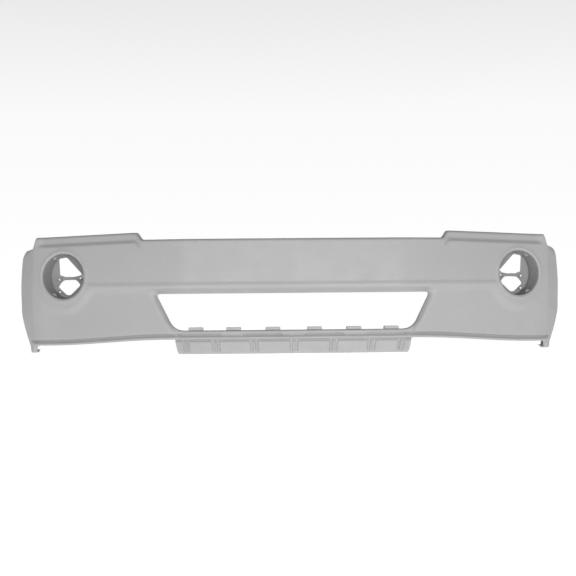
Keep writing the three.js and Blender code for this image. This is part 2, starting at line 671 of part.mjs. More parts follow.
const HEAD_LIFT = 0.9;
const HEAD_UP = [Math.PI / 2, 0, 0];
SIDES.forEach(([name, side]) => {
  place(`fog_lamp_pocket_${name}`, pocketBucket(side), pocketPlastic);
  place(`fog_lamp_carrier_${name}`, carrierPlate(side), pocketPlastic);
  BOSSES.forEach(([u, v], k) => {
    const at = [side * (POCKET.x - u), POCKET.back + GAP - BOSS.height + INSERT.sunk, POCKET.z + v];
    place(`lamp_insert_${name}_${k + 1}`, threadedInsert(), zincSteel, at);
  });
  earPoints(side).forEach(({ x, z, y }, k) => {
    place(`pocket_screw_${name}_${k + 1}`, screwGeometry(), zincSteel, [x, y + EAR.standoff + WALL + GAP, z]);
  });
  place(`side_retainer_${name}`, sideRetainer(side), blackNylon);
  SCREW_STATIONS.forEach((arc, k) => {
    const { x, y, z } = sideScrewPoint(side, arc);
    place(`side_screw_${name}_${k + 1}`, screwGeometry(), zincSteel, [x, y, z + HEAD_LIFT], HEAD_UP);
  });
  place(`corner_foot_${name}`, cornerFoot(side), primedPlastic);
  const foot = footPoint(side);
  const seat = foot.z + WALL + HEAD_LIFT;
  place(`corner_screw_${name}`, screwGeometry(seat - 0.5), zincSteel, [foot.x, foot.y, seat], HEAD_UP);
});

RIVETS.forEach((s, k) => {
  const [x, y] = placeOnPlan(s, -VALANCE_FRONT - WALL - 0.6);
  place(`push_rivet_body_${k + 1}`, rivetBodyGeometry(), blackNylon, [x, y, RIVET.z]);
  place(`push_rivet_pin_${k + 1}`, rivetPinGeometry(), blackNylon, [x, y, RIVET.z]);
});

cover.position.y = -PLAN[PLAN_END][1] / 2;

export default cover;
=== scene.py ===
import math

import bmesh
import bpy
import numpy as np
from mathutils import Matrix, Vector
from mathutils.geometry import delaunay_2d_cdt


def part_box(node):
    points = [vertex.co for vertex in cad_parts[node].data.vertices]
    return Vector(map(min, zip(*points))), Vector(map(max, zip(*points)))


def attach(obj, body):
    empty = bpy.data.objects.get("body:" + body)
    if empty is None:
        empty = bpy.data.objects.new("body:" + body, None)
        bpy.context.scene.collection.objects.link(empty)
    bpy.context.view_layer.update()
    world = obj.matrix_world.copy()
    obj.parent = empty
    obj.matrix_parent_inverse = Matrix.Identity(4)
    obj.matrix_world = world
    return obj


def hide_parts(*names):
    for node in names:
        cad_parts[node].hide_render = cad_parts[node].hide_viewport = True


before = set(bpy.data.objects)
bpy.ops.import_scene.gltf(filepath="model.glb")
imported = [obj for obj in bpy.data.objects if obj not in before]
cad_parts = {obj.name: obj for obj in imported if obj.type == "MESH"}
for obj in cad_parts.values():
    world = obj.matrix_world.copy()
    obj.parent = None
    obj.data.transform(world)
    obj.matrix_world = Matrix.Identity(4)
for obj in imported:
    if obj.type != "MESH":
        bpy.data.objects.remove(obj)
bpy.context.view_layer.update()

MM = 0.001
FRONT_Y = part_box("fascia_skin")[0].y / MM  # the foremost line of the blade
WALL = 3.0
SIDES = (("left", -1), ("right", 1))

# ---------- the skin's shape, as in the CAD ----------
HEADING_ARCS = (0, 330, 385, 892, 904, 952, 977, 1057, 1214)
HEADING_DEGREES = (0, 2.5, 15, 22, 46, 52, 76, 84, 91)
PLAN_END = 1214
BLADE_TOP, LAMP_RISE, LAMP_FALL = 376, 24, 10
LAMP_INNER, LAMP_FULL, LAMP_OUTER = 497, 526, 860
LAMP_HEIGHT, LAMP_SETBACK, LAMP_BLEND, LAMP_FADE = 30, 8, 8, 862
CORNER_START, CORNER_END, CORNER_DROP, SIDE_FALL = 890, 913, 36, 30
SHOULDER_DEPTH, SHOULDER_HEIGHT, SHOULDER_START, SHOULDER_END = 10, 30, 905, 955
LIP_CENTRE, LIP_CORNER, LIP_START, LIP_END = 49, 28, 400, 860
FOLD_LOW, FOLD_HIGH, FOLD_DEPTH, FOLD_LIP, FOLD_LIP_HIGH = 14, 21, 12, 8, 6
FOLD_FADE_START, FOLD_FADE_END = 925, 985
SIDE_LOW, SIDE_LOW_START, SIDE_LOW_END = 3.3, 926, 975
LINE_Z, LEDGE_Z, BLADE_LEAN, LEDGE_HEIGHT, PANEL_SETBACK = 211, 224, 12, 3, 9
TUCK_TOP, TUCK_LOW, TUCK_DEPTH, TUCK_START, TUCK_END, TUCK_POWER = 138, 19, 27, 845, 965, 1.35
FADE_START, FADE_END = 795, 885
BEVEL_DEPTH = 10
BEVEL_LOW, BEVEL_HIGH = (62, 400, 18), (205, 478, 36)  # height, half width, width of the slope
WHEEL_Z, WHEEL_RADIUS, WHEEL_TOP = 70, 420, 322
RAIL_BACK = 46
OPENING_TOP, OPENING_BOTTOM, OPENING_TOP_HALF, OPENING_BOTTOM_HALF = 198, 78, 449, 389
OPENING_TOP_RADIUS, OPENING_BOTTOM_RADIUS = 14, 34
RIVET_X, RIVET_Z = (-200, 0, 200), 62
POCKET_X, POCKET_Z, POCKET_RADIUS, POCKET_TALL, POCKET_BACK = 762, 259, 71, 1.055, 232
LOBE_WIDE, LOBE_TALL, LOBE_BLEND, CREASE_HALF = 98, 119, 24, 9
PANEL_LEAN = 0.02
# Edges that roll over: width and depth of the roll.
TOP_ROLL, LOW_ROLL, REAR_ROLL, POCKET_ROLL = (9, 9), (5, 4.5), (6, 5), (5, 5)
RAIL_ROLL, OPENING_ROLL, ROLL_START, ROLL_END = (7, 6), (20, 15), 84, 118
BEAD_RISE, BEAD_REACH, BEAD_WIDTH = 2, 8, 4
PAD_RISE, PAD_HALF, PAD_END = 6.5, 36, 40
PAD_LOW, PAD_HIGH = (53, 57), (64, 70)
# Depths of the walls that turn back from the skin's edges.
RAIL_RETURN, OPENING_RETURN, POCKET_RETURN, ARCH_RETURN = 18, 15, 3, 9
LIP_RETURN, SIDE_LIP_RETURN, TOP_RETURN, SIDE_TOP_RETURN = 9, 22, 33, 12
RETURN_STEPS = (0.1, 0.4, 0.7, 1)
OUTLINE_STEPS, CIRCLE_SEGMENTS, CAPSULE_STEPS = 10, 24, 10
SKIN_SHARP, PIECE_SHARP = 38, 35  # degrees


def ramp(value, start, end):
    return np.clip((np.asarray(value, float) - start) / (end - start), 0, 1)


def smooth(value, start, end):
    t = ramp(value, start, end)
    return t * t * (3 - 2 * t)


def mix(a, b, t):
    return a + (b - a) * t


ARC = np.arange(PLAN_END + 1)
HEADING_MIDDLE = np.radians(np.interp(ARC[:-1] + 0.5, HEADING_ARCS, HEADING_DEGREES))
PLAN_X = np.concatenate([[0], np.cumsum(np.cos(HEADING_MIDDLE))])
PLAN_Y = np.concatenate([[0], np.cumsum(np.sin(HEADING_MIDDLE))])


def heading(s):
    return np.radians(np.interp(np.abs(s), HEADING_ARCS, HEADING_DEGREES))


def on_plan(s, offset):
    """The plan point at a signed arc length, moved outwards by an offset."""
    turn = heading(s)
    x = np.interp(np.abs(s), ARC, PLAN_X) + offset * np.sin(turn)
    y = np.interp(np.abs(s), ARC, PLAN_Y) - offset * np.cos(turn)
    return np.where(np.asarray(s) < 0, -x, x), y


def plan_x(s):
    return np.interp(np.abs(s), ARC, PLAN_X)


def top_edge(s):
    x, arc = plan_x(s), np.abs(s)
    rise = LAMP_RISE * smooth(x, LAMP_INNER, LAMP_FULL) - LAMP_FALL * ramp(x, LAMP_FULL, LAMP_OUTER)
    corner = CORNER_DROP * smooth(arc, CORNER_START, CORNER_END)
    return BLADE_TOP + rise - corner - SIDE_FALL * ramp(arc, CORNER_END, PLAN_END)


def lip_base(s):
    return mix(LIP_CENTRE, LIP_CORNER, smooth(np.abs(s), LIP_START, LIP_END))


def bottom_edge(s):
    return mix(lip_base(s), SIDE_LOW, smooth(np.abs(s), SIDE_LOW_START, SIDE_LOW_END))


def arch_edge(z):
    reach = np.sqrt(WHEEL_RADIUS**2 - (np.asarray(z, float) - WHEEL_Z) ** 2)
    top = math.sqrt(WHEEL_RADIUS**2 - (WHEEL_TOP - WHEEL_Z) ** 2)
    return PLAN_END - np.maximum(0, reach - top)


def arch_station(u, z):
    """Stations behind the corner close up towards the wheel arch."""
    share = ramp(np.abs(u), CORNER_END, PLAN_END)
    return np.sign(u) * (np.abs(u) - share * (PLAN_END - arch_edge(z)))


def raised(x, z):
    """1 on the blade and round the lamp, 0 on the lower panel."""
    line = z - LINE_Z
    lobe = LOBE_WIDE * (1 - np.hypot((x - POCKET_X) / LOBE_WIDE, (z - POCKET_Z) / LOBE_TALL))
    both = np.maximum(LOBE_BLEND - np.abs(line - lobe), 0) / LOBE_BLEND
    return smooth(np.maximum(line, lobe) + both**2 * LOBE_BLEND / 4, -CREASE_HALF, CREASE_HALF)


def bevel(x, z):
    """How far the margin of the grille opening and the rail lie behind the wing panel."""
    t = ramp(z, BEVEL_LOW[0], BEVEL_HIGH[0])
    half, width = mix(BEVEL_LOW[1], BEVEL_HIGH[1], t), mix(BEVEL_LOW[2], BEVEL_HIGH[2], t)
    return BEVEL_DEPTH * smooth(half - x, 0, width)


def skin_offset(s, z):
    """Outward offset of the skin from the plan curve."""
    x, arc = plan_x(s), np.abs(s)
    step = 1 - smooth(arc, FADE_START, FADE_END)
    climb = np.maximum(z - LEDGE_Z, 0) / (BLADE_TOP - LEDGE_Z)
    blade = -BLADE_LEAN * climb**1.5 - step * LEDGE_HEIGHT * smooth(z, LEDGE_Z, LEDGE_Z + 14)
    above = z - lip_base(s)
    groove = FOLD_DEPTH * smooth(FOLD_HIGH - above, 0, FOLD_HIGH - FOLD_LOW)
    fold = groove - FOLD_LIP * smooth(FOLD_LOW - above, 0, FOLD_LOW - FOLD_LIP_HIGH)
    fold = fold * (1 - smooth(arc, FOLD_FADE_START, FOLD_FADE_END))
    panel = -PANEL_SETBACK * step - PANEL_LEAN * (LINE_Z - z) - fold - bevel(x, z)
    face = mix(panel, blade, raised(x, z))
    crease = top_edge(s) - LAMP_HEIGHT
    along = smooth(x, LAMP_INNER, LAMP_FULL) * (1 - smooth(arc, LAMP_FADE, CORNER_START))
    flange = along * LAMP_SETBACK * smooth(z, crease - LAMP_BLEND, crease + LAMP_BLEND)
    shoulder = SHOULDER_DEPTH * smooth(arc, SHOULDER_START, SHOULDER_END)
    flange = flange + shoulder * ramp(z, top_edge(s) - SHOULDER_HEIGHT, top_edge(s)) ** 2
    tuck = TUCK_DEPTH * smooth(arc, TUCK_START, TUCK_END)
    return face - flange - tuck * ramp(TUCK_TOP - z, 0, TUCK_TOP - TUCK_LOW) ** TUCK_POWER


def station_of(x, z):
    """Arc length at which the skin passes a point of the front view, for x and z arrays."""
    low, high = np.zeros_like(x), np.full_like(x, CORNER_END)
    for _ in range(32):
        middle = (low + high) / 2
        short = on_plan(middle, skin_offset(middle, z))[0] < np.abs(x)
        low, high = np.where(short, middle, low), np.where(short, high, middle)
    return np.sign(x) * low


# ---------- outlines of the holes ----------
def opening_outline():
    """The trapezium's outline, anticlockwise, its corners rounded off."""
    corners = np.array([(-OPENING_BOTTOM_HALF, OPENING_BOTTOM), (OPENING_BOTTOM_HALF, OPENING_BOTTOM),
                        (OPENING_TOP_HALF, OPENING_TOP), (-OPENING_TOP_HALF, OPENING_TOP)], float)
    radii = (OPENING_BOTTOM_RADIUS, OPENING_BOTTOM_RADIUS, OPENING_TOP_RADIUS, OPENING_TOP_RADIUS)
    points = []
    for k, radius in enumerate(radii):
        before, corner, after = corners[k - 1], corners[k], corners[(k + 1) % 4]
        start = corner + (before - corner) * radius / np.linalg.norm(before - corner)
        end = corner + (after - corner) * radius / np.linalg.norm(after - corner)
        for t in np.linspace(0, 1, OUTLINE_STEPS + 1):
            points.append((1 - t) ** 2 * start + 2 * t * (1 - t) * corner + t * t * end)
    return np.array(points)


OUTLINE = opening_outline()


def opening_distance(x, z):
    """Distance outside the opening's outline, negative inside it."""
    p = np.stack([x, z], -1)
    nearest = np.full(np.shape(x), 1e9)
    inside = np.ones(np.shape(x), bool)
    for a, b in zip(OUTLINE, np.roll(OUTLINE, -1, axis=0)):
        along = np.clip(((p - a) @ (b - a)) / ((b - a) @ (b - a)), 0, 1)
        nearest = np.minimum(nearest, np.linalg.norm(p - a - along[..., None] * (b - a), axis=-1))
        inside &= (b[0] - a[0]) * (p[..., 1] - a[1]) - (b[1] - a[1]) * (p[..., 0] - a[0]) > 0
    return np.where(inside, -nearest, nearest)


def pocket_distance(x, z):
    return np.hypot(np.abs(x) - POCKET_X, (z - POCKET_Z) / POCKET_TALL) - POCKET_RADIUS


def opening_loop(distance, spacing):
    """Evenly spaced points at a distance outside the outline."""
    lengths = np.linalg.norm(np.roll(OUTLINE, -1, axis=0) - OUTLINE, axis=1)
    travelled = np.concatenate([[0], np.cumsum(lengths)])
    at = np.arange(0, travelled[-1] - spacing / 2, spacing)
    at = np.unique(np.concatenate([at, travelled[:-1]]).round(6))
    at = at[np.concatenate([[True], np.diff(at) > 0.8])]
    closed = np.concatenate([OUTLINE, OUTLINE[:1]])
    points = np.stack([np.interp(at, travelled, closed[:, k]) for k in (0, 1)], -1)
    chord = np.roll(points, -1, axis=0) - np.roll(points, 1, axis=0)
    normal = np.stack([chord[:, 1], -chord[:, 0]], -1) / np.linalg.norm(chord, axis=1, keepdims=True)
    return points + distance * normal


def pocket_loop(side, distance, spacing):
    radius = POCKET_RADIUS + distance
    count = round(2 * math.pi * radius / spacing)
    angles = 2 * math.pi * np.arange(count) / count
    return np.stack([side * POCKET_X + radius * np.cos(angles),
                     POCKET_Z + radius * POCKET_TALL * np.sin(angles)], -1)


# ---------- the skin's fine mesh ----------
def spaced(*stops):
    """Values from stop to stop, each (value, step up to the next stop)."""
    values = []
    for (start, step), (end, _) in zip(stops, stops[1:]):
        count = max(1, round((end - start) / step))
        values += [mix(start, end, i / count) for i in range(count)]
    return np.array(values + [stops[-1][0]])


EDGE_STEPS = np.array([0, 0.3, 0.9, 1.9, 3.2, 4.8, 6.8, 9.2])
# Heights of the reference rows between which the real heights are stretched.
REFERENCE = np.array([28, 34, 42, 49, 100, 268, 360, 400])
ROWS = np.concatenate([
    28 + EDGE_STEPS[:6],
    spaced((34.5, 2.3), (42, 1), (49, 2.8), (100, 5.5), (196, 2.8), (246, 5.6), (268, 6), (358, 2),
           (381, 3), (387, 3)),
    400 - EDGE_STEPS[::-1],
])
HALF_COLUMNS = spaced((0, 9), (322, 5), (395, 9), (480, 3.5), (530, 7), (850, 3.5), (892, 1.6), (906, 3.5),
                      (985, 8), (PLAN_END - 12, 3))
HALF_COLUMNS = np.concatenate([HALF_COLUMNS, PLAN_END - EDGE_STEPS[::-1]])
COLUMNS = np.concatenate([-HALF_COLUMNS[:0:-1], HALF_COLUMNS])
# Distances of the loops of vertices round each hole.
HOLE_LOOPS = (0, 0.25, 0.8, 1.7, 3, 4.8, 7, 9.6, 12.8, 16.5)
HOLE_MARGIN = 20.5


def knots(u):
    """Real heights of the reference rows at a station."""
    low, base, top = bottom_edge(u), lip_base(u), top_edge(u)
    flat = np.zeros_like(low)
    return [low, low + 6, base + FOLD_LOW, base + FOLD_HIGH, flat + 100, flat + 268, top - 40, top]


def row_height(u, v):
    z, real = np.zeros_like(v, dtype=float), knots(u)
    for k in range(len(REFERENCE) - 1):
        t = (v - REFERENCE[k]) / (REFERENCE[k + 1] - REFERENCE[k])
        z = np.where((t >= 0) & (t <= 1), mix(real[k], real[k + 1], t), z)
    return z


def reference_row(u, z):
    v, real = np.zeros_like(z, dtype=float), knots(u)
    for k in range(len(REFERENCE) - 1):
        t = (z - real[k]) / (real[k + 1] - real[k])
        v = np.where((t >= 0) & (t <= 1), mix(REFERENCE[k], REFERENCE[k + 1], t), v)
    return v


def edge_roll(distance, width, depth):
    """Setback of an edge that rolls over within a width of it."""
    t = 1 - np.clip(distance / width, 0, 1)
    return depth * (1 - np.sqrt(np.maximum(1 - t * t, 0)))


def rail_pads(x, z):
    """Three flush pads that bridge the groove along the rail, over the valance's rivets."""
    band = smooth(z, *PAD_LOW) * (1 - smooth(z, *PAD_HIGH))
    near = np.min([np.abs(x - centre) for centre in RIVET_X], axis=0)
    return PAD_RISE * band * (1 - smooth(near, PAD_HALF, PAD_END))


def place_skin(u, z):
    """Points of the outer surface, in millimetres from the foremost line of the blade."""
    s = arch_station(u, z)
    offset = skin_offset(s, z)
    x = on_plan(s, offset)[0]
    top, low, rear = top_edge(u) - z, z - bottom_edge(u), arch_edge(z) - np.abs(s)
    offset = offset - edge_roll(top, *TOP_ROLL) - edge_roll(low, *LOW_ROLL) - edge_roll(rear, *REAR_ROLL)
    pocket = pocket_distance(x, z)
    bead = BEAD_RISE * np.exp(-(((pocket - BEAD_REACH) / BEAD_WIDTH) ** 2))
    px, py = on_plan(s, offset + bead + rail_pads(x, z))
    opening = opening_distance(x, z)
    share = smooth(z, ROLL_START, ROLL_END)
    width, depth = (mix(rail, margin, share) for rail, margin in zip(RAIL_ROLL, OPENING_ROLL))
    py = py + edge_roll(opening, width, depth) + edge_roll(pocket, *POCKET_ROLL)
    return np.stack([px, py, z], -1)


def hole_distance(u, z):
    x = on_plan(u, skin_offset(u, z))[0]
    return np.minimum(opening_distance(x, z), pocket_distance(x, z))


def skin_sheet():
    """Vertices (station, height), faces, and the ordered loops of the sheet's edges."""
    columns, rows = len(COLUMNS), len(ROWS)
    u, v = np.meshgrid(COLUMNS, ROWS, indexing="ij")
    z = row_height(u, v)
    near = np.where(np.abs(u) < CORNER_END, hole_distance(u, z), 1e3) < HOLE_MARGIN
    cut = near[:-1, :-1] | near[1:, :-1] | near[1:, 1:] | near[:-1, 1:]
    index = np.arange(columns * rows).reshape(columns, rows)
    keep = ~cut
    quads = np.stack([index[:-1, :-1], index[1:, :-1], index[1:, 1:], index[:-1, 1:]], -1)[keep].tolist()
    points = np.stack([u, z], -1).reshape(-1, 2)

    borders = []
    for i in range(columns - 1):
        for j in range(rows - 1):
            if not cut[i, j]:
                continue
            if not cut[i - 1, j]:
                borders.append((index[i, j], index[i, j + 1]))
            if not cut[i + 1, j]:
                borders.append((index[i + 1, j], index[i + 1, j + 1]))
            if not cut[i, j - 1]:
                borders.append((index[i, j], index[i + 1, j]))
            if not cut[i, j + 1]:
                borders.append((index[i, j + 1], index[i + 1, j + 1]))
    rim = sorted({int(k) for edge in borders for k in edge})
    inner_of = {k: n for n, k in enumerate(rim)}
    local = [points[k] for k in rim]
    owner = list(rim)
    edges = [(inner_of[int(a)], inner_of[int(b)]) for a, b in borders]
    loops, total = {}, len(points)
    added = []
    for name, make in (("opening", opening_loop), ("left", lambda d, g: pocket_loop(-1, d, g)),
                       ("right", lambda d, g: pocket_loop(1, d, g))):
        for distance in HOLE_LOOPS:
            xz = make(distance, 3.6 if distance < 8 else 5)
            s = station_of(xz[:, 0], xz[:, 1])
            first = len(local)
            local += list(np.stack([s, xz[:, 1]], -1))
            owner += range(total + len(added), total + len(added) + len(s))
            added += list(np.stack([s, xz[:, 1]], -1))
            edges += [(first + k, first + (k + 1) % len(s)) for k in range(len(s))]
            if distance == 0:
                loops[name] = [owner[first + k] for k in range(len(s))]
    result = delaunay_2d_cdt([Vector(p) for p in local], edges, [], 0, 1e-6, True)
    corners, triangles, originals = result[0], result[2], result[3]
    owners = [owner[ids[0]] if ids else None for ids in originals]
    local_xz = np.array([tuple(c) for c in corners])
    tri = np.array([t for t in triangles if None not in [owners[k] for k in t]])
    middle = local_xz[tri].mean(1)
    column = np.clip(np.searchsorted(COLUMNS, middle[:, 0]) - 1, 0, columns - 2)
    row = np.clip(np.searchsorted(ROWS, reference_row(middle[:, 0], middle[:, 1])) - 1, 0, rows - 2)
    wanted = cut[column, row] & (hole_distance(middle[:, 0], middle[:, 1]) > 0)
    patch = [[owners[k] for k in t] for t in tri[wanted].tolist()]
    points = np.concatenate([points, np.array(added)])
    faces = quads + patch
    loops["outer"] = ([int(k) for k in index[:, 0]] + [int(k) for k in index[-1, 1:]]
                      + [int(k) for k in index[-2::-1, -1]] + [int(k) for k in index[0, -2:0:-1]])
    return points, faces, loops


def vertex_normals(points, faces):
    normals = np.zeros_like(points)
    for size in (3, 4):
        group = np.array([f for f in faces if len(f) == size])
        if not len(group):
            continue
        corner = [points[group[:, k]] for k in range(size)]
        across = corner[2] - corner[0]
        if size == 4:
            normal = np.cross(across, corner[3] - corner[1])
        else:
            normal = np.cross(corner[1] - corner[0], across)
        for k in range(size):
            np.add.at(normals, group[:, k], normal)
    return normals / np.maximum(np.linalg.norm(normals, axis=1, keepdims=True), 1e-12)


def shell_parts(points, faces, thickness):
    """A closed shell: the sheet, the sheet moved inwards, and a rim along its free edges."""
    inner = points - thickness * vertex_normals(points, faces)
    count, used = len(points), {}
    for face in faces:
        used.update(dict.fromkeys(zip(face, face[1:] + face[:1])))
    rims = [[b, a, a + count, b + count] for a, b in used if (b, a) not in used]
    return np.concatenate([points, inner]), faces + [[k + count for k in reversed(f)] for f in faces] + rims


def make_mesh(name, points, faces, sharp):
    """points in millimetres from the foremost line of the blade."""
    placed = (np.asarray(points) + (0, FRONT_Y, 0)) * MM
    keep = sorted({k for face in faces for k in face})
    position = {k: n for n, k in enumerate(keep)}
    mesh = bpy.data.meshes.new(name)
    mesh.from_pydata(placed[keep].tolist(), [], [[position[k] for k in face] for face in faces])
    mesh.validate()
    mesh.shade_smooth()
    mesh.set_sharp_from_angle(angle=math.radians(sharp))
    piece = bpy.data.objects.new(name, mesh)
    bpy.context.scene.collection.objects.link(piece)
    return piece


def return_rows(points, faces, loop, steps):
    """Extends the sheet from one of its edge loops by rows of offsets, each an array of vectors."""
    rows = [list(loop)]
    for step in steps:
        start = len(points)
        points = np.concatenate([points, points[loop] + step])
        rows.append(list(range(start, start + len(loop))))
    count = len(loop)
    for near, far in zip(rows, rows[1:]):
        faces.extend([near[(k + 1) % count], near[k], far[k], far[(k + 1) % count]] for k in range(count))
    return points


def fascia_skin():
    params, faces, loops = skin_sheet()
    u, z = params[:, 0], params[:, 1]
    points = place_skin(u, z)

    backward = np.array([0.0, 1.0, 0.0])
    edge = loops["opening"][::-1]
    deep = mix(RAIL_RETURN, OPENING_RETURN, smooth(z[edge], 88, 112))[:, None] * backward
    points = return_rows(points, faces, edge, [deep * t for t in (0.12, 0.4, 0.7, 1)])
    for side in ("left", "right"):
        points = return_rows(points, faces, loops[side][::-1], [POCKET_RETURN * t * backward for t in (0.3, 1)])

    edge = loops["outer"]
    s, height = arch_station(u[edge], z[edge]), z[edge]
    turn = heading(s)
    inward = np.stack([-np.sign(s) * np.sin(turn), np.cos(turn), np.zeros_like(turn)], -1)
    arc = np.abs(u[edge])
    lip = mix(RAIL_BACK - 31, LIP_RETURN, smooth(arc, LIP_START, LIP_START + 90))
    lip = mix(lip, SIDE_LIP_RETURN, smooth(arc, 950, 1000))
    top = mix(TOP_RETURN, SIDE_TOP_RETURN, smooth(arc, 420, 520))
    side_share = smooth(arch_edge(height) - np.abs(s), 2, 26)
    depth = mix(ARCH_RETURN, mix(lip, top, smooth(height, 150, 250)), side_share)[:, None] * inward
    points = return_rows(points, faces, edge, [depth * t for t in RETURN_STEPS])
    return make_mesh("skin_shell", *shell_parts(points, faces, WALL), SKIN_SHARP)


# ---------- makers of the smaller pieces ----------
def rounded(corners, radius, steps=4, closed=False):
    """A polyline whose corners are rounded off."""
    corners, out = np.asarray(corners, float), []
    for k in range(len(corners)):
        b = corners[k]
        if not closed and k in (0, len(corners) - 1):
            out.append(b)
            continue
        a, c = corners[k - 1], corners[(k + 1) % len(corners)]
        back, ahead = np.linalg.norm(a - b), np.linalg.norm(c - b)
        start, end = b + (a - b) * min(radius / back, 0.45), b + (c - b) * min(radius / ahead, 0.45)
        for t in np.linspace(0, 1, steps + 1):
            out.append((1 - t) ** 2 * start + 2 * t * (1 - t) * b + t * t * end)
    return np.array(out)


def grid_faces(columns, rows, wrap=False):
    """Quads of a grid of points listed row after row within each column."""
    i = np.arange(columns if wrap else columns - 1)[:, None]
    j = np.arange(rows - 1)[None, :]
    after = (i + 1) % columns
    quads = np.stack([i * rows + j, after * rows + j, after * rows + j + 1, i * rows + j + 1], -1)
    return quads.reshape(-1, 4).tolist()


def revolved(profile, segments, wobble=None):
    """A solid turned about the y axis from (radius, y) pairs, closed where the radius is 0."""
    angles = 2 * math.pi * np.arange(segments) / segments
    angle, radius = np.meshgrid(angles, profile[:, 0], indexing="ij")
    y = np.broadcast_to(profile[:, 1], radius.shape)
    if wobble:
        radius, y = wobble(angle, radius, y)
    points = np.stack([radius * np.cos(angle), y, -radius * np.sin(angle)], -1).reshape(-1, 3)
    return points, grid_faces(segments, len(profile), wrap=True)


def joined(parts):
    """Several (points, faces) as one."""
    points, faces, first = [], [], 0
    for some, its_faces in parts:
        points.append(some)
        faces += [[k + first for k in face] for face in its_faces]
        first += len(some)
    return np.concatenate(points), faces


def inside_outline(points, outline):
    turns = np.zeros(len(points), bool)
    for a, b in zip(outline, np.roll(outline, -1, axis=0)):
        crosses = (a[1] > points[:, 1]) != (b[1] > points[:, 1])
        level = a[0] + (points[:, 1] - a[1]) * (b[0] - a[0]) / (b[1] - a[1] if b[1] != a[1] else 1e-9)
        turns ^= crosses & (points[:, 0] < level)
    return turns


def slice_of(outlines, near, far, axes="xzy"):
    """A flat plate: the first outline is its outside, the others holes; axes name u, v and the depth."""
    outlines = [np.asarray(outline, float) for outline in outlines]
    points, edges = np.concatenate(outlines), []
    first = 0
    for outline in outlines:
        edges += [(first + k, first + (k + 1) % len(outline)) for k in range(len(outline))]
        first += len(outline)
    result = delaunay_2d_cdt([Vector(p) for p in points], edges, [], 0, 1e-6, True)
    order = [ids[0] for ids in result[3]]
    triangles = np.array([[order[k] for k in t] for t in result[2]])
    middle = points[triangles].mean(1)
    keep = inside_outline(middle, outlines[0])
    for hole in outlines[1:]:
        keep &= ~inside_outline(middle, hole)
    triangles = triangles[keep]
    count = len(points)
    faces = triangles.tolist() + (triangles[:, ::-1] + count).tolist()
    first = 0
    for outline in outlines:
        ring = list(range(first, first + len(outline)))
        for a, b in zip(ring, ring[1:] + ring[:1]):
            faces.append([b, a, a + count, b + count])
        first += len(outline)
    flat = {axes[0]: np.tile(points[:, 0], 2), axes[1]: np.tile(points[:, 1], 2),
            axes[2]: np.repeat([near, far], count)}
    return np.stack([flat[axis] for axis in "xyz"], -1), faces


def piece(name, parts, material, node=None, edge=0.5, body="root"):
    """One object from (points, faces) parts. It stands for the CAD node and its edges are rounded."""
    shape = make_mesh(name, *joined(parts), PIECE_SHARP)
    mesh = bmesh.new()
    mesh.from_mesh(shape.data)
    bmesh.ops.remove_doubles(mesh, verts=mesh.verts, dist=1e-6)
    bmesh.ops.recalc_face_normals(mesh, faces=mesh.faces)
    mesh.to_mesh(shape.data)
    mesh.free()
    if edge:
        soften = shape.modifiers.new("edges", "BEVEL")
        soften.width = edge * MM
        soften.segments = 2
        soften.limit_method = "ANGLE"
        soften.angle_limit = math.radians(40)
        soften.harden_normals = True
    shape.data.materials.append(material)
    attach(shape, body)
    if node:
        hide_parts(node)
    return shape


def circle(x, z, radius):
    angles = 2 * math.pi * np.arange(CIRCLE_SEGMENTS) / CIRCLE_SEGMENTS
    return np.stack([x + radius * np.cos(angles), z + radius * np.sin(angles)], -1)


def capsule(a, b, radius):
    turn = math.atan2(b[1] - a[1], b[0] - a[0])
    ends = []
    for (x, z), start in ((b, turn - math.pi / 2), (a, turn + math.pi / 2)):
        for angle in np.linspace(start, start + math.pi, CAPSULE_STEPS):
            ends.append((x + radius * math.cos(angle), z + radius * math.sin(angle)))
    return np.array(ends)


